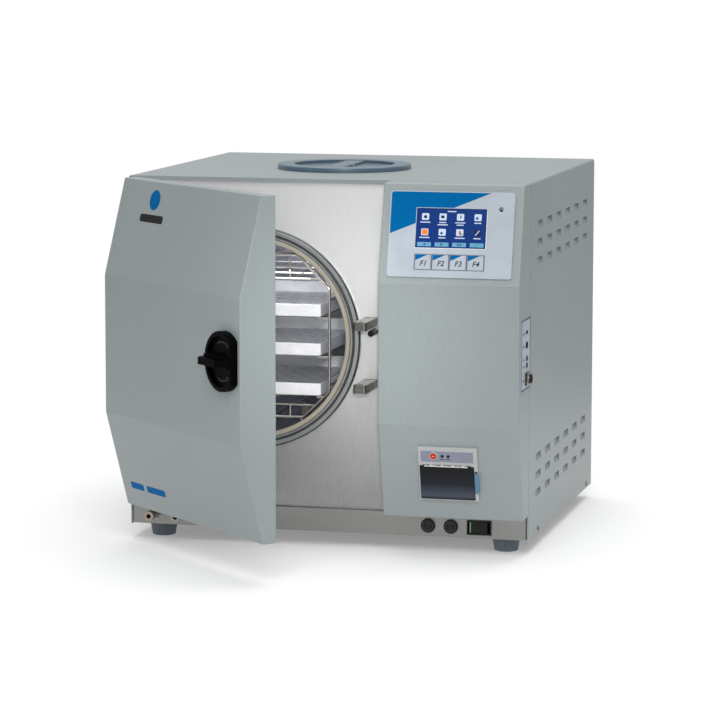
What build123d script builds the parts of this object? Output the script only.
from build123d import *
import math
import os

os.makedirs("parts", exist_ok=True)

# ------------------------------------------------------------------ driving dimensions, mm
# X runs from the hinge side to the control side, Y from front to back, Z up from the bench.

# Cabinet
cabinet_width = 530
cabinet_depth = 458
cover_height = 457
cover_sheet = 1.2
cover_fold_radius = 3
front_lip = 5
plate_setback = 6
plate_sheet = 1.5
rear_sheet = 1.5
tray_sheet = 1.5
tray_height = 30
tray_lift = 1
strip_slit = 2.5
sheet_gap = 0.3

# Feet
foot_height = 18
foot_top_radius = 19
foot_bottom_radius = 15
foot_inset_x = 35
foot_inset_y = 32
foot_screw_radius = 2
foot_ribs = 24

# Louvres
louvre_columns = 6
louvre_pitch = 65
louvre_length = 35
louvre_height = 9
louvre_press = 4
louvre_row_pitch = 23.4
louvre_first_y = 45
louvre_low_z = 50
louvre_high_drop = 107
louvre_rows = 3

# Folded outline shared by the door and the control fascia, measured forward from the front edge
bulge_low = 38.4
bulge_mid = 70
bulge_top = 39.5
bulge_start = 32.5
lower_bend_height = 155.2
upper_bend_drop = 123.4
bulge_fold_radius = 2
fascia_width = 180.4
fascia_wall = 2
fascia_flange = 12
door_to_fascia = 7.2
door_wall = 1.5
door_setback = 19.6

# Door hinge and the angle at which the door stands ajar
hinge_in = 7.7
hinge_forward = 45.4
door_ajar = 43.5
hinge_pin_radius = 4
hinge_running_gap = 0.05
hinge_knuckle_radius = 7
hinge_knuckle_height = 24
hinge_leaf_height = 12
hinge_heights = (167, 321)

# Chamber
chamber_from_left = 165
chamber_height = 250.5
bore_radius = 125
vessel_wall = 3
vessel_depth = 367
vessel_corner = 14
flange_radius = 143.8
flange_neck_radius = 137.5
flange_back = 20
gasket_width = 5.7
gasket_groove = 8
gasket_proud = 3
disc_gap = 0.3
groove_gap = 0.2
insulation_thickness = 18
heater_thickness = 3

# Trays and their wire rack
tray_to_rack = 11
tray_length = 275
tray_wall = 1
pan_height = 16
tray_front = 14
tray_levels = (-75, -23, 27.5)
wire_radius = 2
rack_side_gap = 26
rack_top_gap = 17.5
rack_bottom_gap = 21
rack_top_corner_gap = 3.8
rack_bottom_corner_gap = 2.9
rack_high_bend_gap = 7.1
rack_low_bend_gap = 3.8

# Lock: lugs on the cabinet, handle, pinion and lock bar on the door
lug_width = 17
lug_height = 10.5
lug_heights = (195.5, 275.4)
lug_reach = 55
lug_hole_radius = 3.7
lug_hole_back = 8
lug_anchor_thickness = 14
plunger_radius = 4
plunger_reach = 18.5
plunger_from_lug = 5.5
switch_plunger_height = 262.6
handle_from_edge = 31.9
handle_height = 256
handle_radius = 37
handle_thickness = 10
handle_cut = 26.5
handle_rim = 6
handle_pocket = 4
handle_gap = 0.3
blade_thickness = 8.5
blade_proud = 16
shaft_radius = 6
pinion_module = 1.5
pinion_teeth = 12
pressure_angle = 20
rack_addendum = 1.0
gear_backlash = 0.15
lock_bar_width = 11
lock_bar_thickness = 6
lock_pin_radius = 3
pin_lift = 1.5
lock_slide_gap = 0.3

# Display panel on the upper facet of the fascia
display_from_right = 11
display_width = 159
display_low = 8.6
display_height = 109
display_thickness = 2.5
screen_width = 90
screen_height = 50.4
screen_low = 45.7
screen_from_left = 34.5
key_pitch = 22.4
key_width = 21.6
key_height = 20
key_low = 17.9
key_proud = 0.3
panel_gap = 0.25

# Receipt printer on the lower facet
printer_from_right = 54
printer_width = 76
printer_height = 72.6
printer_low = 26.5
printer_proud = 3
paper_radius = 15
paper_width = 57.5
paper_core_radius = 6

# Front strip controls
switch_from_right = 64
switch_width = 32
switch_height = 19
fuse_from_right = (101, 131)
fuse_radius = 9.3
drain_from_left = (32, 68)
drain_radius = 6.3
drain_reach = 27
drain_bore = 3
strip_controls_height = 15

# Water filler on the roof
lid_from_left = 238.6
lid_from_front = 195
lid_radius = 89
lid_height = 6
lid_recess_radius = 67
neck_radius = 80
neck_wall = 8
lid_skirt_gap = 0.5

# ------------------------------------------------------------------ derived places
left = -cabinet_width / 2
right = cabinet_width / 2
front = -cabinet_depth / 2
back = cabinet_depth / 2
base = foot_height
top = foot_height + cover_height
lower_bend = base + lower_bend_height
upper_bend = top - upper_bend_drop
bulge_bottom = base + bulge_start

tray_bottom = base + tray_lift
tray_floor = tray_bottom + tray_sheet
tray_top = tray_bottom + tray_height
plate_y = front + plate_setback
plate_back = plate_y + plate_sheet
inner_left = left + cover_sheet
inner_right = right - cover_sheet
rear_y = back - cover_sheet - rear_sheet - sheet_gap
strip_z = base + strip_controls_height

fascia_left = right - fascia_width
door_width = cabinet_width - fascia_width - door_to_fascia
door_right = left + door_width
door_back = front - door_setback
hinge_x = left + hinge_in
hinge_y = front - hinge_forward

chamber_x = left + chamber_from_left
chamber_z = base + chamber_height
vessel_radius = bore_radius + vessel_wall
gasket_outer = bore_radius + gasket_width
jacket_inner = vessel_radius + heater_thickness + sheet_gap
jacket_outer = jacket_inner + insulation_thickness

handle_x = door_right - handle_from_edge
handle_z = base + handle_height
pitch_radius = pinion_module * pinion_teeth / 2
pitch_line = handle_x + pitch_radius
lug_x = pitch_line + 2
lug_tip = front - lug_reach
lug_hole_y = lug_tip + lug_hole_back
lock_travel = pitch_radius * math.pi / 2
door_face = front - bulge_mid
bar_front = door_face + door_wall + 4.5
bar_back = bar_front + lock_bar_thickness

lid_x = left + lid_from_left
lid_y = front + lid_from_front

# ------------------------------------------------------------------ frames and small builders
still = Location()
hinge_place = Location((hinge_x, hinge_y, 0))
door_swing = hinge_place * Location((0, 0, 0), (0, 0, -door_ajar)) * hinge_place.inverse()
chamber_axis = Axis((chamber_x, front, chamber_z), (0, 1, 0))
chamber_section = Plane(origin=(chamber_x, front, chamber_z), x_dir=(1, 0, 0), z_dir=(0, 0, 1))

upper_tilt = math.degrees(math.atan2(bulge_mid - bulge_top, upper_bend_drop))
lower_tilt = math.degrees(math.atan2(bulge_mid - bulge_low, lower_bend - bulge_bottom))
upper_normal = (0, -math.cos(math.radians(upper_tilt)), math.sin(math.radians(upper_tilt)))
lower_normal = (0, -math.cos(math.radians(lower_tilt)), -math.sin(math.radians(lower_tilt)))
upper_facet = Plane(origin=(right, door_face, upper_bend), x_dir=(1, 0, 0), z_dir=upper_normal)
lower_origin = (right, front - bulge_low, bulge_bottom)
lower_facet = Plane(origin=lower_origin, x_dir=(1, 0, 0), z_dir=lower_normal)


def seen_from_front(y):
    """A sketch plane at depth y: X to the right, Z up, extruding towards the front."""
    return Plane.XZ.offset(-y)


def on_door(plane):
    """A plane given on the closed door, carried to the door as it stands ajar."""
    return Plane(door_swing * plane.location)


def block(x, y, z, frame=still, mode=Mode.ADD):
    """A box between two values of X, of Y and of Z."""
    centre = ((x[0] + x[1]) / 2, (y[0] + y[1]) / 2, (z[0] + z[1]) / 2)
    with Locations(frame * Location(centre)):
        Box(abs(x[1] - x[0]), abs(y[1] - y[0]), abs(z[1] - z[0]), mode=mode)


def rod(start, end, radius, frame=still, mode=Mode.ADD):
    """A round bar from one point to another."""
    run = Vector(*end) - Vector(*start)
    seat = Plane(origin=start, z_dir=run)
    with Locations(frame * seat.location):
        Cylinder(radius, run.length, align=(Align.CENTER, Align.CENTER, Align.MIN), mode=mode)


def folded_outline(plane, rear, inset=0):
    """The folded side outline of the door and the fascia, in Y and Z, from depth rear forward."""
    corners = [
        (rear, bulge_bottom),
        (front - bulge_low, bulge_bottom),
        (front - bulge_mid, lower_bend),
        (front - bulge_mid, upper_bend),
        (front - bulge_top, top),
        (rear, top),
    ]
    with BuildSketch(plane) as outline:
        with BuildLine():
            FilletPolyline(*corners, radius=bulge_fold_radius, close=True)
        make_face()
        if inset:
            offset(amount=-inset, mode=Mode.REPLACE)
    return outline.sketch


def save(piece, name):
    """Label a finished piece and write its STEP file."""
    piece.part.label = name
    export_step(piece.part, "parts/" + name + ".step")


# ------------------------------------------------------------------ cabinet sheet metal
with BuildPart() as base_tray:
    block((inner_left, inner_right), (front + 0.5, rear_y), (tray_bottom, tray_top))
    block(
        (inner_left + tray_sheet, inner_right - tray_sheet),
        (front + 0.5 + tray_sheet, rear_y - tray_sheet),
        (tray_floor, tray_top),
        mode=Mode.SUBTRACT,
    )
    block((inner_left, inner_right), (front + 0.5, plate_back), (tray_top - tray_sheet, tray_top))
    for end in (inner_left, inner_right - strip_slit):
        block(
            (end, end + strip_slit),
            (front, front + 0.5 + tray_sheet),
            (tray_bottom, tray_top),
            mode=Mode.SUBTRACT,
        )
    block(
        (
            right - switch_from_right - switch_width / 2 + 1,
            right - switch_from_right + switch_width / 2 - 1,
        ),
        (front, front + 5),
        (strip_z - switch_height / 2 + 1, strip_z + switch_height / 2 - 1),
        mode=Mode.SUBTRACT,
    )
    for inset in fuse_from_right:
        x = right - inset
        rod((x, front, strip_z), (x, front + 5, strip_z), 6.2, mode=Mode.SUBTRACT)
    for inset in drain_from_left:
        x = left + inset
        rod((x, front, strip_z), (x, front + 5, strip_z), 5.2, mode=Mode.SUBTRACT)
    with Locations(Plane.XY.offset(tray_floor)):
        with GridLocations(
            cabinet_width - 2 * foot_inset_x, cabinet_depth - 2 * foot_inset_y, 2, 2
        ):
            Cylinder(foot_screw_radius + 0.2, 4 * tray_sheet, mode=Mode.SUBTRACT)
    for y in (front + 64, back - 38):
        rod((left, y, base + 6), (right, y, base + 6), 1.7, mode=Mode.SUBTRACT)
save(base_tray, "base_tray")

with BuildPart() as outer_cover:
    with BuildSketch(seen_from_front(back)):
        with BuildLine():
            outside = FilletPolyline(
                (left, base), (left, top), (right, top), (right, base), radius=cover_fold_radius
            )
            inside = FilletPolyline(
                (inner_left, base),
                (inner_left, top - cover_sheet),
                (inner_right, top - cover_sheet),
                (inner_right, base),
                radius=cover_fold_radius - cover_sheet,
            )
            Line(outside @ 0, inside @ 0)
            Line(outside @ 1, inside @ 1)
        make_face()
    extrude(amount=cabinet_depth)
    block(
        (left + cover_fold_radius, right - cover_fold_radius),
        (front, front + cover_sheet),
        (top - front_lip, top - cover_sheet / 2),
    )
    block(
        (left + cover_fold_radius, right - cover_fold_radius),
        (back - cover_sheet, back),
        (top - front_lip, top - cover_sheet / 2),
    )
    rod((lid_x, lid_y, top - 5), (lid_x, lid_y, top + 5), neck_radius + 0.5, mode=Mode.SUBTRACT)
    louvre_places = []
    for column in range(louvre_columns):
        for row in range(louvre_rows):
            y = front + louvre_first_y + column * louvre_pitch
            louvre_places.append((y, base + louvre_low_z + row * louvre_row_pitch))
            louvre_places.append((y, top - louvre_high_drop + row * louvre_row_pitch))
    with BuildSketch(Plane.YZ.offset(left)):
        with Locations(*louvre_places):
            Rectangle(louvre_length, louvre_height, align=(Align.MIN, Align.MIN))
    extrude(amount=cabinet_width, mode=Mode.SUBTRACT)
    for column in range(louvre_columns):
        y = front + louvre_first_y + column * louvre_pitch
        with BuildSketch(seen_from_front(y + louvre_length)):
            for low, high in {(z, z + louvre_height) for y_place, z in louvre_places}:
                for wall, inward in ((left, 1), (right, -1)):
                    Polygon(
                        (wall, low - 1),
                        (wall + inward * cover_sheet, low - 1),
                        (wall + inward * (louvre_press + cover_sheet), high - 1),
                        (wall + inward * louvre_press, high - 1),
                        align=None,
                    )
        extrude(amount=louvre_length)
    for y in (front + 64, back - 38):
        rod((left - 1, y, base + 6), (right + 1, y, base + 6), 1.7, mode=Mode.SUBTRACT)
save(outer_cover, "outer_cover")

with BuildPart() as front_plate:
    block(
        (inner_left + sheet_gap, inner_right - sheet_gap),
        (plate_y, plate_back),
        (tray_top, top - cover_sheet - sheet_gap),
    )
    fillet(front_plate.edges().filter_by(Axis.Y).group_by(Axis.Z)[-1], cover_fold_radius)
    rod(
        (chamber_x, plate_y - 1, chamber_z),
        (chamber_x, plate_back + 1, chamber_z),
        flange_neck_radius + sheet_gap,
        mode=Mode.SUBTRACT,
    )
    for height in lug_heights:
        block(
            (lug_x - lug_width / 2 - sheet_gap, lug_x + lug_width / 2 + sheet_gap),
            (plate_y - 1, plate_back + 1),
            (base + height - lug_height / 2 - sheet_gap, base + height + lug_height / 2 + sheet_gap),
            mode=Mode.SUBTRACT,
        )
    rod(
        (lug_x + 5.5, plate_y - 1, base + switch_plunger_height),
        (lug_x + 5.5, plate_back + 1, base + switch_plunger_height),
        plunger_radius + sheet_gap,
        mode=Mode.SUBTRACT,
    )
save(front_plate, "front_plate")

fan_x = right - 120
fan_z = base + 150
inlet_x = right - 110
inlet_z = base + 60
valve_z = chamber_z + 60
with BuildPart() as rear_panel:
    block(
        (inner_left + sheet_gap, inner_right - sheet_gap),
        (rear_y, rear_y + rear_sheet),
        (tray_bottom + 2, top - cover_sheet - sheet_gap),
    )
    fillet(rear_panel.edges().filter_by(Axis.Y).group_by(Axis.Z)[-1], cover_fold_radius)
    with BuildSketch(seen_from_front(rear_y + rear_sheet + 1)):
        for ring in range(5):
            count = 6 + 6 * ring
            with Locations((fan_x, fan_z)):
                with PolarLocations(9 + 9 * ring, count):
                    Circle(3)
        with Locations((inlet_x, inlet_z)):
            Rectangle(27.6, 20.2)
        with Locations((chamber_x, valve_z)):
            Circle(9)
        with Locations((chamber_x, chamber_z - 90)):
            with GridLocations(22, 12, 8, 3):
                SlotOverall(16, 5)
    extrude(amount=rear_sheet + 2, mode=Mode.SUBTRACT)
save(rear_panel, "rear_panel")

with BuildPart() as cover_screws:
    for y in (front + 64, back - 38):
        for wall, inward in ((left, 1), (right, -1)):
            rod((wall - inward * 1.6, y, base + 6), (wall, y, base + 6), 3)
            rod((wall, y, base + 6), (wall + inward * 8, y, base + 6), 1.5)
            block(
                (wall - inward * 1.7, wall - inward * 0.9),
                (y - 2.2, y + 2.2),
                (base + 5.6, base + 6.4),
                mode=Mode.SUBTRACT,
            )
save(cover_screws, "cover_screws")

# ------------------------------------------------------------------ feet
foot_places = GridLocations(cabinet_width - 2 * foot_inset_x, cabinet_depth - 2 * foot_inset_y, 2, 2)
with BuildPart() as one_foot:
    with BuildSketch(Plane.XZ):
        Polygon(
            (foot_screw_radius + 0.2, tray_bottom),
            (foot_top_radius, tray_bottom),
            (foot_top_radius, tray_bottom - 3),
            (foot_bottom_radius + 0.6, 1),
            (foot_bottom_radius, 0),
            (7, 0),
            (7, 8),
            (foot_screw_radius + 0.2, 8),
            align=None,
        )
    revolve(axis=Axis.Z)
    with BuildSketch(Plane.XY):
        with PolarLocations(foot_top_radius + 1.2, foot_ribs):
            Circle(1.6)
    extrude(amount=tray_bottom - 3, mode=Mode.SUBTRACT)

with BuildPart() as feet:
    with foot_places:
        add(one_foot.part)
save(feet, "feet")

with BuildPart() as foot_screws:
    with foot_places:
        with Locations((0, 0, 5)):
            Cylinder(5, 3, align=(Align.CENTER, Align.CENTER, Align.MIN))
            Cylinder(foot_screw_radius, tray_floor, align=(Align.CENTER, Align.CENTER, Align.MIN))
        with Locations((0, 0, tray_floor)):
            Cylinder(4.2, 3.2, align=(Align.CENTER, Align.CENTER, Align.MIN))
save(foot_screws, "foot_screws")

# ------------------------------------------------------------------ chamber
with BuildPart() as chamber_flange:
    with BuildSketch(chamber_section):
        Polygon(
            (flange_neck_radius, plate_setback),
            (flange_radius, plate_setback),
            (flange_radius, 1),
            (flange_radius - 1, 0),
            (gasket_outer + 5.4, 0),
            (gasket_outer + 5.4, 2),
            (gasket_outer + 4.4, 2),
            (gasket_outer + 4.4, 0),
            (gasket_outer + groove_gap, 0),
            (gasket_outer + groove_gap, gasket_groove),
            (bore_radius, gasket_groove),
            (bore_radius, flange_back),
            (flange_neck_radius, flange_back),
            align=None,
        )
    revolve(axis=chamber_axis)
save(chamber_flange, "chamber_flange")

with BuildPart() as door_gasket:
    with BuildSketch(chamber_section):
        Polygon(
            (bore_radius, gasket_groove),
            (gasket_outer, gasket_groove),
            (gasket_outer, -gasket_proud + 1),
            (gasket_outer - 1.2, -gasket_proud),
            (bore_radius + 1.5, -gasket_proud),
            (bore_radius, -gasket_proud + 1.5),
            align=None,
        )
    revolve(axis=chamber_axis)
save(door_gasket, "door_gasket")

with BuildPart() as chamber_vessel:
    with BuildSketch(chamber_section):
        Polygon(
            (bore_radius, flange_back),
            (vessel_radius, flange_back),
            (vessel_radius, vessel_depth + vessel_wall),
            (0, vessel_depth + vessel_wall),
            (0, vessel_depth),
            (bore_radius, vessel_depth),
            align=None,
        )
    revolve(axis=chamber_axis)
    rims = chamber_vessel.edges().filter_by(GeomType.CIRCLE).sort_by(Axis.Y)
    fillet(rims[-1], vessel_corner + vessel_wall)
    floor_rim = chamber_vessel.edges().filter_by(GeomType.CIRCLE).filter_by(
        lambda edge: abs(edge.radius - bore_radius) < 0.1 and edge.center().Y > front + vessel_depth - 1
    )
    fillet(floor_rim, vessel_corner)
    rod(
        (chamber_x, front + vessel_depth - 5, valve_z),
        (chamber_x, front + vessel_depth + vessel_wall + 5, valve_z),
        5,
        mode=Mode.SUBTRACT,
    )
save(chamber_vessel, "chamber_vessel")

heater_start = 60
heater_end = 320
with BuildPart() as heater_band:
    with BuildSketch(chamber_section):
        with Locations((vessel_radius + 0.1, heater_start)):
            Rectangle(heater_thickness - 0.1, heater_end - heater_start, align=(Align.MIN, Align.MIN))
    revolve(axis=chamber_axis)
    block(
        (chamber_x - 12, chamber_x + 12),
        (front, back),
        (chamber_z - jacket_outer, chamber_z - bore_radius),
        mode=Mode.SUBTRACT,
    )
save(heater_band, "heater_band")

with BuildPart() as insulation_jacket:
    with BuildSketch(chamber_section):
        with Locations((jacket_inner, flange_back + 2)):
            Rectangle(
                insulation_thickness,
                vessel_depth - flange_back,
                align=(Align.MIN, Align.MIN),
            )
    revolve(axis=chamber_axis)
save(insulation_jacket, "insulation_jacket")

cradle_half = 95
with BuildPart() as chamber_cradles:
    for y in (front + 90, front + 300):
        block((chamber_x - cradle_half, chamber_x + cradle_half), (y, y + 8), (tray_floor, chamber_z - 105))
        block(
            (chamber_x - cradle_half, chamber_x + cradle_half),
            (y - 12, y + 20),
            (tray_floor, tray_floor + 3),
        )
        for x in (chamber_x - 55, chamber_x + 55):
            rod((x, y - 1, tray_floor + 45), (x, y + 9, tray_floor + 45), 18, mode=Mode.SUBTRACT)
    rod(
        (chamber_x, front, chamber_z),
        (chamber_x, back, chamber_z),
        jacket_outer + 0.2,
        mode=Mode.SUBTRACT,
    )
save(chamber_cradles, "chamber_cradles")

with BuildPart() as safety_valve:
    valve_front = front + vessel_depth - 4
    rod((chamber_x, valve_front, valve_z), (chamber_x, rear_y + 4, valve_z), 4.8)
    rod((chamber_x, valve_front + 9, valve_z), (chamber_x, rear_y - 34, valve_z), 8)
    rod((chamber_x, rear_y - 34, valve_z), (chamber_x, rear_y - 8, valve_z), 12)
    rod((chamber_x, rear_y + rear_sheet, valve_z), (chamber_x, rear_y + 14, valve_z), 12)
    rod((chamber_x, rear_y - 8, valve_z), (chamber_x, rear_y + 4, valve_z), 8.8)
save(safety_valve, "safety_valve")

# ------------------------------------------------------------------ trays and rack
pan_y = front + tray_front
def half_bore(gap, height):
    """Half the width of the bore at a height from its centre, held in from the wall by a gap."""
    return math.sqrt((bore_radius - gap) ** 2 - height**2)


rack_half_width = bore_radius - rack_side_gap
rack_top = bore_radius - rack_top_gap
rack_bottom = rack_bottom_gap - bore_radius
rack_top_half = half_bore(rack_top_corner_gap, rack_top)
rack_bottom_half = half_bore(rack_bottom_corner_gap, rack_bottom)
rack_post_high = half_bore(rack_high_bend_gap, rack_half_width)
rack_post_low = -half_bore(rack_low_bend_gap, rack_half_width)
tray_width = 2 * (rack_half_width - tray_to_rack)


def side_wire(height):
    """Half the width of the rack's frame at a height: its post, or the slant below the post."""
    if height > rack_post_low:
        return rack_half_width
    share = (height - rack_bottom) / (rack_post_low - rack_bottom)
    return rack_bottom_half + share * (rack_half_width - rack_bottom_half) + 1.2


for level, height in enumerate(tray_levels, start=1):
    with BuildPart() as tray_pan:
        pan_z = chamber_z + height
        block(
            (chamber_x - tray_width / 2, chamber_x + tray_width / 2),
            (pan_y, pan_y + tray_length),
            (pan_z, pan_z + pan_height),
        )
        block(
            (chamber_x - tray_width / 2 + tray_wall, chamber_x + tray_width / 2 - tray_wall),
            (pan_y + tray_wall, pan_y + tray_length - tray_wall),
            (pan_z + tray_wall, pan_z + pan_height + 1),
            mode=Mode.SUBTRACT,
        )
    save(tray_pan, "tray_" + str(level))

rack_front = pan_y + 3
rack_rear = pan_y + tray_length - 3
rail_radius = wire_radius - 0.1
runner_half = tray_width / 2 - 4
rail_places = [(side * rack_half_width, z) for side in (-1, 1) for z in (-60, 50)]
rail_places += [(side * x, rack_top) for side in (-1, 1) for x in (19, 48)]
rail_places += [(side * 21, rack_bottom) for side in (-1, 1)]
rail_places += [(side * (rack_bottom_half - 2), rack_bottom - 1.8) for side in (-1, 1)]
rail_places += [(side * runner_half, level - rail_radius) for side in (-1, 1) for level in tray_levels]
with BuildPart() as tray_rack:
    for y in (rack_front, rack_rear):
        with BuildLine(seen_from_front(y)):
            ring = FilletPolyline(
                (chamber_x + rack_bottom_half, chamber_z + rack_bottom),
                (chamber_x + rack_half_width, chamber_z + rack_post_low),
                (chamber_x + rack_half_width, chamber_z + rack_post_high),
                (chamber_x + rack_top_half, chamber_z + rack_top),
                (chamber_x - rack_top_half, chamber_z + rack_top),
                (chamber_x - rack_half_width, chamber_z + rack_post_high),
                (chamber_x - rack_half_width, chamber_z + rack_post_low),
                (chamber_x - rack_bottom_half, chamber_z + rack_bottom),
                radius=8,
                close=True,
            )
        with BuildSketch(Plane(origin=ring @ 0, z_dir=ring % 0)):
            Circle(wire_radius)
        sweep(path=ring)
        for side in (-1, 1):
            for level in tray_levels:
                z = chamber_z + level - rail_radius
                rod(
                    (chamber_x + side * (runner_half - 0.5), y, z),
                    (chamber_x + side * side_wire(level - rail_radius), y, z),
                    wire_radius * 0.8,
                )
    for x, z in rail_places:
        rod(
            (chamber_x + x, rack_front - 1, chamber_z + z),
            (chamber_x + x, rack_rear + 1, chamber_z + z),
            rail_radius,
        )
save(tray_rack, "tray_rack")

# ------------------------------------------------------------------ door
door_outline = on_door(Plane.YZ.offset(left))
across_door = Vector(math.cos(math.radians(door_ajar)), -math.sin(math.radians(door_ajar)), 0)
out_of_door = Vector(-math.sin(math.radians(door_ajar)), -math.cos(math.radians(door_ajar)), 0)
hinge_line = Axis((hinge_x, hinge_y, 0), across_door)
depth_line = Axis((hinge_x, hinge_y, 0), out_of_door)
notch_half = hinge_knuckle_height / 2 + hinge_leaf_height + 2
with BuildPart() as door_shell:
    extrude(folded_outline(door_outline, door_back), amount=door_width)
    end_faces = door_shell.faces().sort_by(hinge_line)
    rim = end_faces[0].edges().sort_by(depth_line)[1:] + end_faces[-1].edges().sort_by(depth_line)[1:]
    fillet(rim, 1.2)
    extrude(
        folded_outline(door_outline.offset(door_wall), door_back, door_wall),
        amount=door_width - 2 * door_wall,
        mode=Mode.SUBTRACT,
    )
    block(
        (left + door_wall, door_right - door_wall),
        (door_back + 1, door_back - door_wall - 1),
        (bulge_bottom + door_wall, top - door_wall),
        frame=door_swing,
        mode=Mode.SUBTRACT,
    )
    for height in hinge_heights:
        block(
            (left - 1, left + door_wall + 0.5),
            (door_back + 1, hinge_y - 12),
            (base + height - notch_half, base + height + notch_half),
            frame=door_swing,
            mode=Mode.SUBTRACT,
        )
    rod(
        (handle_x, door_face - 1, handle_z),
        (handle_x, door_face + door_wall + 1, handle_z),
        shaft_radius + lock_slide_gap,
        frame=door_swing,
        mode=Mode.SUBTRACT,
    )
save(door_shell, "door_shell")

liner_hub_radius = 32
with BuildPart() as door_liner:
    block(
        (left + door_wall + 0.2, door_right - door_wall - 0.2),
        (door_back - door_wall, door_back),
        (bulge_bottom + door_wall + 0.2, top - door_wall - 0.2),
        frame=door_swing,
    )
    rod(
        (chamber_x, door_back + 1, chamber_z),
        (chamber_x, door_back - door_wall - 1, chamber_z),
        liner_hub_radius,
        frame=door_swing,
        mode=Mode.SUBTRACT,
    )
    for height in lug_heights:
        block(
            (lug_x - lug_width / 2 - 3, lug_x + lug_width / 2 + 2),
            (door_back + 1, door_back - door_wall - 1),
            (base + height - lug_height / 2 - 1.5, base + height + lug_height / 2 + 1.5),
            frame=door_swing,
            mode=Mode.SUBTRACT,
        )
    for height in hinge_heights:
        block(
            (left, hinge_x + 8),
            (door_back + 1, door_back - door_wall - 1),
            (base + height - notch_half, base + height + notch_half),
            frame=door_swing,
            mode=Mode.SUBTRACT,
        )
save(door_liner, "door_liner")

disc_back = front - gasket_proud - disc_gap
disc_thickness = 8
hub_radius = 30
beam_back = door_back - 10
beam_thickness = 6
beam_front = beam_back - beam_thickness
with BuildPart() as pressure_disc:
    rod(
        (chamber_x, disc_back - disc_thickness, chamber_z),
        (chamber_x, disc_back, chamber_z),
        gasket_outer + 4,
        frame=door_swing,
    )
    rod((chamber_x, beam_back, chamber_z), (chamber_x, disc_back - 1, chamber_z), hub_radius, frame=door_swing)
    rod(
        (chamber_x, disc_back - 2, chamber_z),
        (chamber_x, disc_back + 1, chamber_z),
        bore_radius - 12,
        frame=door_swing,
        mode=Mode.SUBTRACT,
    )
save(pressure_disc, "pressure_disc")

beam_half = 42
beam_z = handle_z - 20
leaf_reach = 30
with BuildPart() as door_beam:
    block(
        (hinge_x + leaf_reach + 4, lug_x - 2),
        (beam_front, beam_back),
        (beam_z - 27, beam_z + 27),
        frame=door_swing,
    )
    for side in (-1, 1):
        block(
            (hinge_x + leaf_reach + 4, lug_x - 28),
            (beam_front - 8, beam_front),
            (beam_z + side * 24 - 3, beam_z + side * 24 + 3),
            frame=door_swing,
        )
    block(
        (hinge_x + leaf_reach + 4, hinge_x + leaf_reach + 34),
        (beam_front, beam_back),
        (base + hinge_heights[0] - 30, base + hinge_heights[1] + 30),
        frame=door_swing,
    )
    rod(
        (handle_x, beam_front - 1, handle_z),
        (handle_x, beam_back + 1, handle_z),
        shaft_radius - 1 + lock_slide_gap,
        frame=door_swing,
        mode=Mode.SUBTRACT,
    )
    for height in hinge_heights:
        for side in (-1, 1):
            near = base + height + side * (hinge_knuckle_height / 2 + sheet_gap)
            far = near + side * hinge_leaf_height
            rod((hinge_x, hinge_y, near), (hinge_x, hinge_y, far), hinge_knuckle_radius, frame=door_swing)
            block(
                (hinge_x, hinge_x + leaf_reach + 20),
                (beam_front - 6, beam_front),
                (min(near, far), max(near, far)),
                frame=door_swing,
            )
            rod(
                (hinge_x, hinge_y, near - side),
                (hinge_x, hinge_y, far + side),
                hinge_pin_radius + hinge_running_gap,
                frame=door_swing,
                mode=Mode.SUBTRACT,
            )
save(door_beam, "door_beam")

with BuildPart() as hinge_brackets:
    for height in hinge_heights:
        z = (base + height - hinge_knuckle_height / 2, base + height + hinge_knuckle_height / 2)
        block((inner_left + 1, inner_left + 26), (plate_y - 3, plate_y), (z[0] - 8, z[1] + 8))
        block((hinge_x - 5, hinge_x + 5), (hinge_y, plate_y - 3), z)
        rod((hinge_x, hinge_y, z[0]), (hinge_x, hinge_y, z[1]), hinge_knuckle_radius)
        rod(
            (hinge_x, hinge_y, z[0] - 1),
            (hinge_x, hinge_y, z[1] + 1),
            hinge_pin_radius,
            mode=Mode.SUBTRACT,
        )
save(hinge_brackets, "hinge_brackets")

with BuildPart() as hinge_pins:
    for height in hinge_heights:
        half = hinge_knuckle_height / 2 + hinge_leaf_height + sheet_gap
        low = base + height - half
        high = base + height + half
        rod((hinge_x, hinge_y, low), (hinge_x, hinge_y, high + 0.5), hinge_pin_radius)
        rod((hinge_x, hinge_y, high + 0.5), (hinge_x, hinge_y, high + 3), hinge_pin_radius + 2)
save(hinge_pins, "hinge_pins")

# ------------------------------------------------------------------ lock
plunger_x = lug_x + plunger_from_lug
plunger_z = base + switch_plunger_height
with BuildPart() as lock_lugs:
    for height in lug_heights:
        z = (base + height - lug_height / 2, base + height + lug_height / 2)
        block((lug_x - lug_width / 2, lug_x + lug_width / 2), (lug_tip, plate_back + 1), z)
        rod((lug_x, lug_hole_y, z[0] - 1), (lug_x, lug_hole_y, z[1] + 1), lug_hole_radius, mode=Mode.SUBTRACT)
    fillet(lock_lugs.edges().filter_by(Axis.Z).group_by(Axis.Y)[0], 3)
    block(
        (lug_x - 14, lug_x + 18),
        (plate_back, plate_back + lug_anchor_thickness),
        (base + lug_heights[0] - 22, base + lug_heights[1] + 22),
    )
    rod(
        (plunger_x, plate_back - 1, plunger_z),
        (plunger_x, plate_back + lug_anchor_thickness + 1, plunger_z),
        plunger_radius + sheet_gap,
        mode=Mode.SUBTRACT,
    )
save(lock_lugs, "lock_lugs")

with BuildPart() as door_switch:
    rod(
        (plunger_x, front - plunger_reach, plunger_z),
        (plunger_x, plate_back + 10, plunger_z),
        plunger_radius,
    )
    fillet(door_switch.edges().filter_by(GeomType.CIRCLE).group_by(Axis.Y)[0], 1.5)
save(door_switch, "door_switch")

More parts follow.
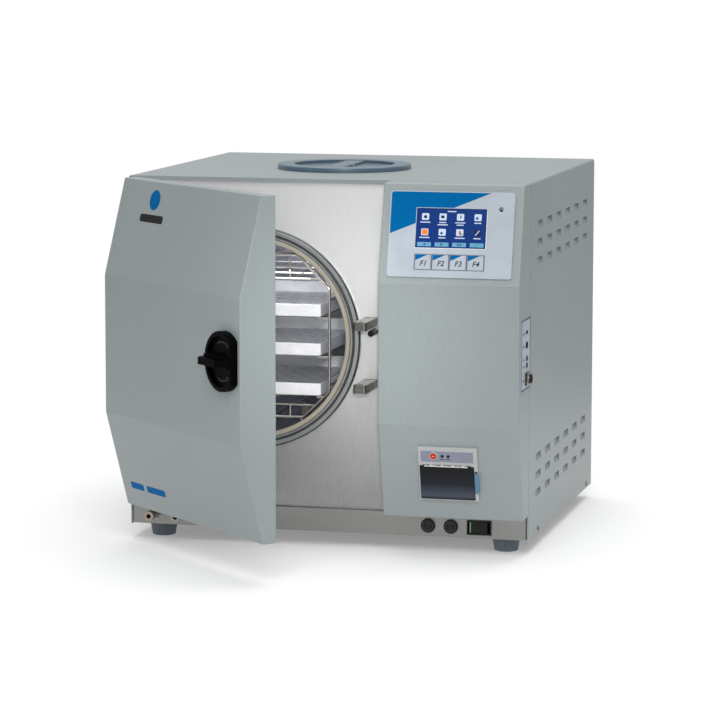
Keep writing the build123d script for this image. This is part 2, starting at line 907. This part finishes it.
handle_back = door_face - handle_gap
handle_front = handle_back - handle_thickness
with BuildPart() as door_handle:
    with BuildSketch(on_door(seen_from_front(handle_back))):
        with Locations((handle_x, handle_z)):
            Circle(handle_radius)
        with Locations((handle_x + handle_cut, handle_z)):
            Rectangle(
                2 * handle_radius,
                3 * handle_radius,
                align=(Align.MIN, Align.CENTER),
                mode=Mode.SUBTRACT,
            )
    extrude(amount=handle_thickness)
    face = door_handle.faces().sort_by(depth_line)[-1]
    fillet(face.edges(), 1.5)
    with BuildSketch(on_door(seen_from_front(handle_front - 1))):
        with Locations((handle_x, handle_z)):
            Circle(handle_radius - handle_rim)
        with Locations((handle_x + handle_cut - handle_rim, handle_z)):
            Rectangle(
                2 * handle_radius,
                3 * handle_radius,
                align=(Align.MIN, Align.CENTER),
                mode=Mode.SUBTRACT,
            )
        with Locations((handle_x, handle_z)):
            Rectangle(3 * handle_radius, blade_thickness + 9, mode=Mode.SUBTRACT)
    extrude(amount=-handle_pocket - 1, mode=Mode.SUBTRACT)
    blade_left = handle_x - handle_radius + 2.5
    blade_right = handle_x + handle_cut - 1.5
    with BuildSketch(on_door(Plane.XY.offset(handle_z - blade_thickness / 2))) as blade:
        with BuildLine():
            blade_front = handle_front - blade_proud
            blade_root = door_face - handle_thickness + 2
            Polyline(
                (blade_left, blade_root),
                (blade_left + 4, blade_front + 6),
                (blade_left + 10, blade_front),
                (blade_right - 10, blade_front),
                (blade_right - 4, blade_front + 6),
                (blade_right, blade_root),
                close=True,
            )
        make_face()
        fillet(blade.vertices(), 1.5)
    extrude(amount=blade_thickness)
    with BuildSketch(on_door(Plane.XY.offset(handle_z - blade_thickness / 2 - 3))):
        with BuildLine():
            Polyline(
                (blade_left + 1, blade_root),
                (blade_left + 3, blade_root - 6),
                (blade_right - 3, blade_root - 6),
                (blade_right - 1, blade_root),
                close=True,
            )
        make_face()
    extrude(amount=blade_thickness + 6)
save(door_handle, "door_handle")


def pinion_outline():
    """One involute tooth space after another round the pitch circle, as a closed list of points."""
    base_radius = pitch_radius * math.cos(math.radians(pressure_angle))
    tip_radius = pitch_radius + 1.25
    root_radius = pitch_radius - 1.9
    flank_steps = 6
    pitch_half_angle = (math.pi * pinion_module / 2 - gear_backlash) / (2 * pitch_radius)
    pressure = math.radians(pressure_angle)
    pitch_involute = math.tan(pressure) - pressure
    flank = []
    for step in range(flank_steps + 1):
        radius = base_radius + (tip_radius - base_radius) * step / flank_steps
        roll = math.acos(base_radius / radius)
        half_angle = pitch_half_angle + pitch_involute - (math.tan(roll) - roll)
        flank.append((radius, half_angle))
    points = []
    for tooth in range(pinion_teeth):
        centre = 2 * math.pi * (tooth + 0.5) / pinion_teeth
        low_side = [(root_radius, -flank[0][1])] + [(radius, -angle) for radius, angle in flank]
        high_side = [(radius, angle) for radius, angle in reversed(flank)] + [(root_radius, flank[0][1])]
        for radius, angle in low_side + high_side:
            points.append((radius * math.cos(centre + angle), radius * math.sin(centre + angle)))
    return points


with BuildPart() as handle_shaft:
    rod(
        (handle_x, bar_back, handle_z),
        (handle_x, handle_back, handle_z),
        shaft_radius,
        frame=door_swing,
    )
    rod(
        (handle_x, beam_back - 1, handle_z),
        (handle_x, bar_back, handle_z),
        shaft_radius - 1,
        frame=door_swing,
    )
    with BuildSketch(on_door(seen_from_front(bar_back))):
        with Locations((handle_x, handle_z)):
            Polygon(*pinion_outline(), align=None)
    extrude(amount=lock_bar_thickness)
save(handle_shaft, "handle_shaft")

rack_pitch = math.pi * pinion_module
rack_tip = pitch_line - rack_addendum
rack_root = pitch_line + 1.6
bar_right = rack_root + lock_bar_width
ear_thickness = 5
pin_length = lock_travel
with BuildPart() as lock_bar:
    bar_low = base + lug_heights[0] + lug_height / 2 + pin_lift + pin_length
    bar_high = base + lug_heights[1] + lug_height / 2 + pin_lift + pin_length + ear_thickness
    block((rack_root, bar_right), (bar_front, bar_back), (bar_low, bar_high), frame=door_swing)
    flank_lean = math.tan(math.radians(pressure_angle))
    tooth_half = rack_pitch / 4 - gear_backlash / 2
    with BuildSketch(on_door(seen_from_front(bar_back))):
        for tooth in range(-2, 6):
            z = handle_z + tooth * rack_pitch
            Polygon(
                (rack_root + 0.5, z - tooth_half - 1.6 * flank_lean),
                (rack_root, z - tooth_half - 1.6 * flank_lean),
                (rack_tip, z - tooth_half + rack_addendum * flank_lean),
                (rack_tip, z + tooth_half - rack_addendum * flank_lean),
                (rack_root, z + tooth_half + 1.6 * flank_lean),
                (rack_root + 0.5, z + tooth_half + 1.6 * flank_lean),
                align=None,
            )
    extrude(amount=lock_bar_thickness)
    for height in lug_heights:
        ear_z = base + height + lug_height / 2 + pin_lift + pin_length
        block(
            (lug_x - 5.5, bar_right),
            (bar_front, lug_hole_y + 5.5),
            (ear_z, ear_z + ear_thickness),
            frame=door_swing,
        )
        rod(
            (lug_x, lug_hole_y, ear_z + 1),
            (lug_x, lug_hole_y, ear_z - pin_length),
            lock_pin_radius,
            frame=door_swing,
        )
save(lock_bar, "lock_bar")

guide_heights = (233, 270)
with BuildPart() as lock_guides:
    for height in guide_heights:
        block(
            (rack_tip - 4, bar_right + 4),
            (door_face + door_wall, bar_back + 2),
            (base + height, base + height + 6.5),
            frame=door_swing,
        )
        block(
            (rack_tip - lock_slide_gap, bar_right + lock_slide_gap),
            (bar_front - lock_slide_gap, bar_back + lock_slide_gap),
            (base + height - 1, base + height + 8),
            frame=door_swing,
            mode=Mode.SUBTRACT,
        )
save(lock_guides, "lock_guides")

# ------------------------------------------------------------------ control fascia
fascia_back = front - sheet_gap
with BuildPart() as control_fascia:
    extrude(folded_outline(Plane.YZ.offset(fascia_left), fascia_back), amount=fascia_width)
    end_faces = control_fascia.faces().sort_by(Axis.X)
    rim = end_faces[0].edges().sort_by(Axis.Y)[:-1] + end_faces[-1].edges().sort_by(Axis.Y)[:-1]
    fillet(rim, 1.2)
    extrude(
        folded_outline(Plane.YZ.offset(fascia_left + fascia_wall), fascia_back, fascia_wall),
        amount=fascia_width - 2 * fascia_wall,
        mode=Mode.SUBTRACT,
    )
    block(
        (fascia_left + fascia_flange, right - fascia_flange),
        (fascia_back - fascia_wall - 1, fascia_back + 1),
        (bulge_bottom + fascia_flange, top - fascia_flange),
        mode=Mode.SUBTRACT,
    )
    block(
        (fascia_left, fascia_left + fascia_wall),
        (fascia_back - fascia_wall, plate_y - 0.2),
        (bulge_bottom, top - front_lip - 1),
    )
    window_low = key_low - 4
    window_high = screen_low + screen_height + 4
    display_left = -display_from_right - display_width
    with BuildSketch(upper_facet):
        with Locations((display_left + screen_from_left - 3, window_low)):
            Rectangle(screen_width + 6, window_high - window_low, align=(Align.MIN, Align.MIN))
    extrude(amount=-fascia_wall - 3, mode=Mode.SUBTRACT)
    with BuildSketch(lower_facet):
        with Locations((-printer_from_right - printer_width + 3, printer_low + 3)):
            Rectangle(printer_width - 3.4, printer_height - 6, align=(Align.MIN, Align.MIN))
    extrude(amount=-fascia_wall - 3, mode=Mode.SUBTRACT)
    block(
        (right - 5, right + 1),
        (front - 49, front - 9),
        (base + 204, base + 285),
        mode=Mode.SUBTRACT,
    )
save(control_fascia, "control_fascia")

with BuildPart() as display_bezel:
    with BuildSketch(upper_facet):
        with Locations((display_left + display_width / 2, display_low + display_height / 2)):
            RectangleRounded(display_width, display_height, 4)
        with Locations((display_left + screen_from_left, screen_low)):
            Rectangle(screen_width, screen_height, align=(Align.MIN, Align.MIN), mode=Mode.SUBTRACT)
        with Locations((display_left + screen_from_left - panel_gap, key_low - panel_gap)):
            Rectangle(
                4 * key_pitch + 2 * panel_gap,
                key_height + 2 * panel_gap,
                align=(Align.MIN, Align.MIN),
                mode=Mode.SUBTRACT,
            )
        with Locations((display_left + display_width - 17, screen_low + screen_height)):
            Circle(3, mode=Mode.SUBTRACT)
    extrude(amount=display_thickness)
save(display_bezel, "display_bezel")

module_depth = 8
glass_recess = 0.3
board_level = display_thickness - 2.3 - module_depth
with BuildPart() as display_screen:
    with BuildSketch(upper_facet.offset(display_thickness - glass_recess)):
        with Locations((display_left + screen_from_left + panel_gap, screen_low + panel_gap)):
            Rectangle(
                screen_width - 2 * panel_gap, screen_height - 2 * panel_gap, align=(Align.MIN, Align.MIN)
            )
    extrude(amount=-display_thickness)
    with BuildSketch(upper_facet.offset(-0.1)):
        with Locations((display_left + screen_from_left - 1, screen_low - 1)):
            Rectangle(screen_width + 2, screen_height + 2, align=(Align.MIN, Align.MIN))
    extrude(amount=board_level + 0.1)
save(display_screen, "display_screen")

with BuildPart() as control_board:
    board_top = upper_facet.offset(board_level)
    board_x = display_left + screen_from_left - 12
    with BuildSketch(board_top):
        with Locations((board_x, window_low - 8)):
            Rectangle(screen_width + 24, window_high - window_low + 14, align=(Align.MIN, Align.MIN))
    extrude(amount=-1.6)
    with BuildSketch(board_top):
        for x in (board_x + 5, board_x + screen_width + 19):
            for y in (window_low - 3, window_high + 1):
                with Locations((x, y)):
                    Circle(3)
    extrude(amount=-fascia_wall - 0.2 - board_level)
    with BuildSketch(board_top):
        for number in range(4):
            key_x = display_left + screen_from_left + key_pitch * (number + 0.5)
            with Locations((key_x, key_low + key_height / 2)):
                Rectangle(6, 6)
    extrude(amount=4.4)
save(control_board, "control_board")

for number in range(4):
    with BuildPart() as key:
        key_x = display_left + screen_from_left + key_pitch * (number + 0.5)
        key_y = key_low + key_height / 2
        with BuildSketch(upper_facet.offset(display_thickness + key_proud)):
            with Locations((key_x, key_y)):
                Rectangle(key_width, key_height)
        extrude(amount=-display_thickness - key_proud - 1.2)
        with BuildSketch(upper_facet.offset(-0.1)):
            with Locations((key_x, key_y)):
                Rectangle(key_width, key_height + 3)
        extrude(amount=-1.1)
        with BuildSketch(upper_facet.offset(-1.1)):
            with Locations((key_x, key_y)):
                Circle(2.5)
        extrude(amount=-1.45)
    save(key, "key_f" + str(number + 1))

# ------------------------------------------------------------------ service ports on the side
port_y = front - 24
port_plate_thickness = 0.8
service_height = 213
with BuildPart() as port_plate:
    with BuildSketch(Plane.YZ.offset(right)):
        with Locations((front - 30, base + 244.5)):
            RectangleRounded(58, 91, 3)
        with Locations((port_y, base + 271.7)):
            Rectangle(14.6, 5, mode=Mode.SUBTRACT)
        with Locations((port_y, base + 255.4)):
            Rectangle(14.6, 8.6, mode=Mode.SUBTRACT)
        for height in (238.7, 229.8):
            with Locations((port_y, base + height)):
                Circle(3.6, mode=Mode.SUBTRACT)
        with Locations((port_y, base + service_height)):
            Circle(6.2, mode=Mode.SUBTRACT)
    extrude(amount=port_plate_thickness)
save(port_plate, "port_plate")

with BuildPart() as port_sockets:
    # card slot
    block((right - 14, right + 0.6), (port_y - 7, port_y + 7), (base + 269.5, base + 273.9))
    block(
        (right - 12, right + 1),
        (port_y - 6, port_y + 6),
        (base + 270.7, base + 272.7),
        mode=Mode.SUBTRACT,
    )
    # serial bus socket with its tongue
    block((right - 14, right + 0.8), (port_y - 7, port_y + 7), (base + 251.5, base + 259.3))
    block(
        (right - 12, right + 1),
        (port_y - 6.2, port_y + 6.2),
        (base + 252.3, base + 258.5),
        mode=Mode.SUBTRACT,
    )
    block((right - 13, right - 2), (port_y - 5, port_y + 5), (base + 256, base + 257.8))
    # two jacks
    for height in (238.7, 229.8):
        rod((right - 14, port_y, base + height), (right + 1.6, port_y, base + height), 3.4)
        rod(
            (right - 11, port_y, base + height),
            (right + 2, port_y, base + height),
            1.8,
            mode=Mode.SUBTRACT,
        )
    # round service connector
    z = base + service_height
    rod((right - 14, port_y, z), (right + 7.5, port_y, z), 6)
    block((right + port_plate_thickness, right + 2.4), (port_y - 9, port_y + 9), (z - 8, z + 8))
    rod((right - 8, port_y, z), (right + 9, port_y, z), 4.6, mode=Mode.SUBTRACT)
    rod((right - 9, port_y, z), (right + 4, port_y, z), 1.2)
    # the board that carries them, on four posts
    block((right - 15.6, right - 14), (port_y - 22, port_y + 12), (base + 206, base + 283))
    for y in (port_y - 19, port_y + 9):
        for height in (base + 209, base + 280):
            rod((right - 14, y, height), (right, y, height), 2)
save(port_sockets, "port_sockets")

# ------------------------------------------------------------------ receipt printer
printer_left = -printer_from_right - printer_width
printer_right = -printer_from_right
door_low = printer_low + 1
cover_height_local = 45.6
cover_right = printer_left + 71
roll_up = printer_low + 3.3 + 1.6 + paper_radius + sheet_gap
roll_in = -20
bin_depth = 38
bin_wall = 1.6
with BuildPart() as printer_frame:
    with BuildSketch(lower_facet):
        with Locations((printer_left, printer_low)):
            Rectangle(printer_width, printer_height, align=(Align.MIN, Align.MIN))
    extrude(amount=printer_proud)
    with BuildSketch(lower_facet):
        with Locations((printer_left + 3.3, printer_low + 3.3)):
            Rectangle(printer_width - 6.6, printer_height - 6.6, align=(Align.MIN, Align.MIN))
    extrude(amount=-bin_depth)
    with BuildSketch(lower_facet.offset(printer_proud)):
        with Locations((printer_left + 1, door_low)):
            Rectangle(70.5, cover_height_local + 0.6, align=(Align.MIN, Align.MIN))
    extrude(amount=-2.8, mode=Mode.SUBTRACT)
    with BuildSketch(lower_facet.offset(printer_proud)):
        with Locations((printer_left + 3.3 + bin_wall, printer_low + 3.3 + bin_wall)):
            Rectangle(
                64.2,
                cover_height_local - 6,
                align=(Align.MIN, Align.MIN),
            )
    extrude(amount=-printer_proud - bin_depth + bin_wall, mode=Mode.SUBTRACT)
    with BuildSketch(lower_facet.offset(printer_proud)):
        with Locations((cover_right + 0.7, door_low + 10)):
            Rectangle(3.6, 30, align=(Align.MIN, Align.MIN))
    extrude(amount=-9, mode=Mode.SUBTRACT)
    with BuildSketch(lower_facet.offset(printer_proud)):
        with Locations((printer_left + 19.7, printer_low + 60.4)):
            Circle(4.5)
        for x in (31, 38.8):
            with Locations((printer_left + x, printer_low + 60.4)):
                Circle(1.7)
    extrude(amount=-7, mode=Mode.SUBTRACT)
save(printer_frame, "printer_frame")

with BuildPart() as printer_door:
    with BuildSketch(lower_facet.offset(printer_proud + 0.4)):
        with Locations((printer_left + 1.3, door_low + 0.3)):
            Rectangle(69.6, cover_height_local - 0.3, align=(Align.MIN, Align.MIN))
    extrude(amount=-2.6)
    fillet(printer_door.edges().filter_by(Axis.X).group_by(Axis.Z)[0], 1.2)
    fillet(printer_door.edges().filter_by(Axis.X).group_by(Axis.Z)[1], 1.2)
save(printer_door, "printer_door")

with BuildPart() as printer_lever:
    with BuildSketch(lower_facet.offset(printer_proud + 2)):
        with Locations((cover_right + 1.0, door_low + 11)):
            Rectangle(3, 27, align=(Align.MIN, Align.MIN))
    extrude(amount=-7)
save(printer_lever, "printer_lever")

with BuildPart() as printer_button:
    with BuildSketch(lower_facet.offset(printer_proud + 1.4)):
        with Locations((printer_left + 19.7, printer_low + 60.4)):
            Circle(4.2)
    extrude(amount=-6)
save(printer_button, "printer_button")

roll_plane = Plane(
    origin=lower_facet.from_local_coords((printer_left + 4.9 + (64.2 - paper_width) / 2, roll_up, roll_in)),
    z_dir=(1, 0, 0),
)
with BuildPart() as paper_roll:
    with BuildSketch(roll_plane):
        Circle(paper_radius)
        Circle(paper_core_radius, mode=Mode.SUBTRACT)
    extrude(amount=paper_width)
save(paper_roll, "paper_roll")

# ------------------------------------------------------------------ controls on the front strip
switch_x = right - switch_from_right
strip_front = front + 0.5
with BuildPart() as switch_housing:
    block(
        (switch_x - switch_width / 2, switch_x + switch_width / 2),
        (strip_front - 1.8, strip_front),
        (strip_z - switch_height / 2, strip_z + switch_height / 2),
    )
    block(
        (switch_x - switch_width / 2 + 1, switch_x + switch_width / 2 - 1),
        (strip_front - 1, strip_front + 24),
        (strip_z - switch_height / 2 + 1, strip_z + switch_height / 2 - 1),
    )
    block(
        (switch_x - 14.4, switch_x + 14.4),
        (strip_front - 3, strip_front + 20),
        (strip_z - 7.4, strip_z + 7.4),
        mode=Mode.SUBTRACT,
    )
save(switch_housing, "switch_housing")

rocker_tilt = 8
pivot_y = strip_front + 3.5
rocker_corners = ((-12, 5.5), (0, 4.7), (12, 5.5), (10, -4), (-10, -4))
with BuildPart() as power_rocker:
    with BuildSketch(Plane.XY.offset(strip_z - 7)):
        with BuildLine():
            lean = math.radians(rocker_tilt)
            corners = []
            for x, ahead in rocker_corners:
                turned_x = x * math.cos(lean) - ahead * math.sin(lean)
                turned_ahead = ahead * math.cos(lean) + x * math.sin(lean)
                corners.append((switch_x + turned_x, pivot_y - turned_ahead))
            Polyline(*corners, close=True)
        make_face()
    extrude(amount=14)
    rod((switch_x, pivot_y, strip_z - 7.35), (switch_x, pivot_y, strip_z + 7.35), 2)
save(power_rocker, "power_rocker")

with BuildPart() as fuse_holders:
    for inset in fuse_from_right:
        x = right - inset
        rod((x, strip_front - 2.2, strip_z), (x, strip_front, strip_z), fuse_radius)
        rod((x, strip_front - 1, strip_z), (x, strip_front + 34, strip_z), 6)
        rod((x, strip_front + tray_sheet, strip_z), (x, strip_front + 6, strip_z), 8.5)
        rod((x, strip_front - 3, strip_z), (x, strip_front + 30, strip_z), 4.6, mode=Mode.SUBTRACT)
        rod((x, strip_front - 3, strip_z), (x, strip_front - 0.8, strip_z), 7.3, mode=Mode.SUBTRACT)
save(fuse_holders, "fuse_holders")

for number, inset in enumerate(fuse_from_right, start=1):
    x = right - inset
    with BuildPart() as fuse_cap:
        rod((x, strip_front - 3.4, strip_z), (x, strip_front - 1, strip_z), 7)
        rod((x, strip_front - 1.2, strip_z), (x, strip_front + 24, strip_z), 4.4)
        block(
            (x - 5.5, x + 5.5),
            (strip_front - 4, strip_front - 2.2),
            (strip_z - 0.8, strip_z + 0.8),
            mode=Mode.SUBTRACT,
        )
    save(fuse_cap, "fuse_cap_" + str(number))

with BuildPart() as drain_nipples:
    for inset in drain_from_left:
        x = left + inset
        rod((x, strip_front - drain_reach, strip_z), (x, strip_front - 5, strip_z), drain_radius)
        rod((x, strip_front - 5, strip_z), (x, strip_front - 4, strip_z), 5)
        with BuildSketch(seen_from_front(strip_front)):
            with Locations((x, strip_z)):
                RegularPolygon(8, 6)
        extrude(amount=4)
        rod((x, strip_front - 1, strip_z), (x, strip_front + 22, strip_z), 5)
        with BuildSketch(seen_from_front(strip_front + tray_sheet + 4)):
            with Locations((x, strip_z)):
                RegularPolygon(8, 6)
        extrude(amount=4)
        rod(
            (x, strip_front - drain_reach - 1, strip_z),
            (x, strip_front + 23, strip_z),
            drain_bore,
            mode=Mode.SUBTRACT,
        )
save(drain_nipples, "drain_nipples")

# ------------------------------------------------------------------ water tank and its filler
tank_left = left + 20
tank_right = fascia_left - 12
tank_front = front + 60
tank_rear = lid_y + 130
tank_top = top - 5
tank_floor = chamber_z + jacket_outer + 4
tank_wall = 2.5
lid_low = top + 0.5
with BuildPart() as water_tank:
    block((tank_left, tank_right), (tank_front, tank_rear), (tank_floor, tank_top))
    block(
        (tank_left + tank_wall, tank_right - tank_wall),
        (tank_front + tank_wall, tank_rear - tank_wall),
        (tank_floor + tank_wall, tank_top - tank_wall),
        mode=Mode.SUBTRACT,
    )
    for y in (tank_front + 30, tank_rear - 50):
        block((tank_left - 18.5, tank_left), (y, y + 20), (tank_floor, tank_floor + 3))
        block((tank_left - 18.5, tank_left - 15.5), (y, y + 20), (tank_floor, tank_top))
    rod((lid_x, lid_y, tank_top - 1), (lid_x, lid_y, lid_low), neck_radius)
    rod(
        (lid_x, lid_y, tank_top - tank_wall - 1),
        (lid_x, lid_y, lid_low + 1),
        neck_radius - neck_wall,
        mode=Mode.SUBTRACT,
    )
save(water_tank, "water_tank")

with BuildPart() as reservoir_lid:
    rod((lid_x, lid_y, lid_low), (lid_x, lid_y, lid_low + lid_height), lid_radius)
    lid_rim = reservoir_lid.edges().filter_by(GeomType.CIRCLE).group_by(Axis.Z)[-1]
    fillet(lid_rim, 2)
    rod(
        (lid_x, lid_y, lid_low + 2.5),
        (lid_x, lid_y, lid_low + lid_height + 1),
        lid_recess_radius,
        mode=Mode.SUBTRACT,
    )
    skirt = neck_radius - neck_wall - lid_skirt_gap
    rod((lid_x, lid_y, lid_low - 4), (lid_x, lid_y, lid_low + 1), skirt)
    rod((lid_x, lid_y, lid_low - 5), (lid_x, lid_y, lid_low), skirt - 2.5, mode=Mode.SUBTRACT)
    block(
        (lid_x - 12.5, lid_x + 12.5),
        (lid_y - lid_recess_radius + 1, lid_y + lid_recess_radius - 1),
        (lid_low + 2, lid_low + lid_height - 0.5),
    )
    for side in (-1, 1):
        rod(
            (lid_x - side * 12.6, lid_y, lid_low + lid_height + 6),
            (lid_x - side * 4, lid_y, lid_low + lid_height + 6),
            9,
            mode=Mode.SUBTRACT,
        )
save(reservoir_lid, "reservoir_lid")

# ------------------------------------------------------------------ working parts inside the cabinet
bay_left = chamber_x + jacket_outer + 14
with BuildPart() as vacuum_pump:
    pump_y = front + 60
    block((bay_left + 10, bay_left + 90), (pump_y, pump_y + 60), (tray_floor, tray_floor + 8))
    block((bay_left + 12, bay_left + 88), (pump_y + 4, pump_y + 56), (tray_floor + 8, tray_floor + 70))
    rod(
        (bay_left + 50, pump_y + 56, tray_floor + 42),
        (bay_left + 50, pump_y + 150, tray_floor + 42),
        30,
    )
    block(
        (bay_left + 30, bay_left + 70),
        (pump_y + 70, pump_y + 140),
        (tray_floor, tray_floor + 20),
    )
    for x in (bay_left + 35, bay_left + 65):
        rod((x, pump_y + 30, tray_floor + 70), (x, pump_y + 30, tray_floor + 90), 5)
save(vacuum_pump, "vacuum_pump")

with BuildPart() as valve_manifold:
    manifold_y = front + 250
    block((bay_left + 8, bay_left + 50), (manifold_y, manifold_y + 120), (tray_floor, tray_floor + 24))
    for number in range(3):
        y = manifold_y + 20 + 40 * number
        block((bay_left + 14, bay_left + 44), (y - 13, y + 13), (tray_floor + 24, tray_floor + 62))
        rod((bay_left + 29, y, tray_floor + 62), (bay_left + 29, y, tray_floor + 68), 6)
save(valve_manifold, "valve_manifold")

condenser_y = rear_y - 62
with BuildPart() as condenser:
    block((fan_x - 60, fan_x - 57), (condenser_y, rear_y - tray_sheet), (tray_floor, fan_z + 62))
    block((fan_x + 57, fan_x + 60), (condenser_y, rear_y - tray_sheet), (tray_floor, fan_z + 62))
    for number in range(9):
        z = fan_z - 52 + 13 * number
        block((fan_x - 58, fan_x + 58), (condenser_y, condenser_y + 28), (z, z + 1.5))
    for y in (condenser_y + 8, condenser_y + 20):
        for x in (fan_x - 35, fan_x, fan_x + 35):
            rod((x, y, fan_z - 56), (x, y, fan_z + 56), 4)
save(condenser, "condenser")

with BuildPart() as fan_frame:
    block((fan_x - 55, fan_x + 55), (rear_y - 25, rear_y), (fan_z - 55, fan_z + 55))
    rod((fan_x, rear_y - 26, fan_z), (fan_x, rear_y + 1, fan_z), 51, mode=Mode.SUBTRACT)
    block((fan_x - 54, fan_x + 54), (rear_y - 25, rear_y - 22), (fan_z - 4, fan_z + 4))
    rod((fan_x, rear_y - 25, fan_z), (fan_x, rear_y - 21, fan_z), 15)
    rod((fan_x, rear_y - 22, fan_z), (fan_x, rear_y - 5, fan_z), 3)
save(fan_frame, "fan_frame")

with BuildPart() as fan_rotor:
    rod((fan_x, rear_y - 20.5, fan_z), (fan_x, rear_y - 3, fan_z), 16)
    for number in range(7):
        turn = Location((fan_x, rear_y - 12, fan_z), (0, 360 * number / 7, 0))
        tilt = turn * Location((31, 0, 0), (28, 0, 0))
        with Locations(tilt):
            Box(34, 1.6, 20)
    rod((fan_x, rear_y - 30, fan_z), (fan_x, rear_y - 4, fan_z), 3.1, mode=Mode.SUBTRACT)
save(fan_rotor, "fan_rotor")

with BuildPart() as mains_inlet:
    block(
        (inlet_x - 24, inlet_x + 24),
        (rear_y + rear_sheet, rear_y + rear_sheet + 3),
        (inlet_z - 11.5, inlet_z + 11.5),
    )
    block(
        (inlet_x - 13.6, inlet_x + 13.6),
        (rear_y - 20, rear_y + rear_sheet + 1),
        (inlet_z - 9.9, inlet_z + 9.9),
    )
    block(
        (inlet_x - 12, inlet_x + 12),
        (rear_y - 16, rear_y + rear_sheet + 4),
        (inlet_z - 8, inlet_z + 8),
        mode=Mode.SUBTRACT,
    )
    for x, z in ((inlet_x - 7, inlet_z - 2), (inlet_x, inlet_z + 2), (inlet_x + 7, inlet_z - 2)):
        block((x - 1, x + 1), (rear_y - 17, rear_y - 1), (z - 2, z + 2))
save(mains_inlet, "mains_inlet")
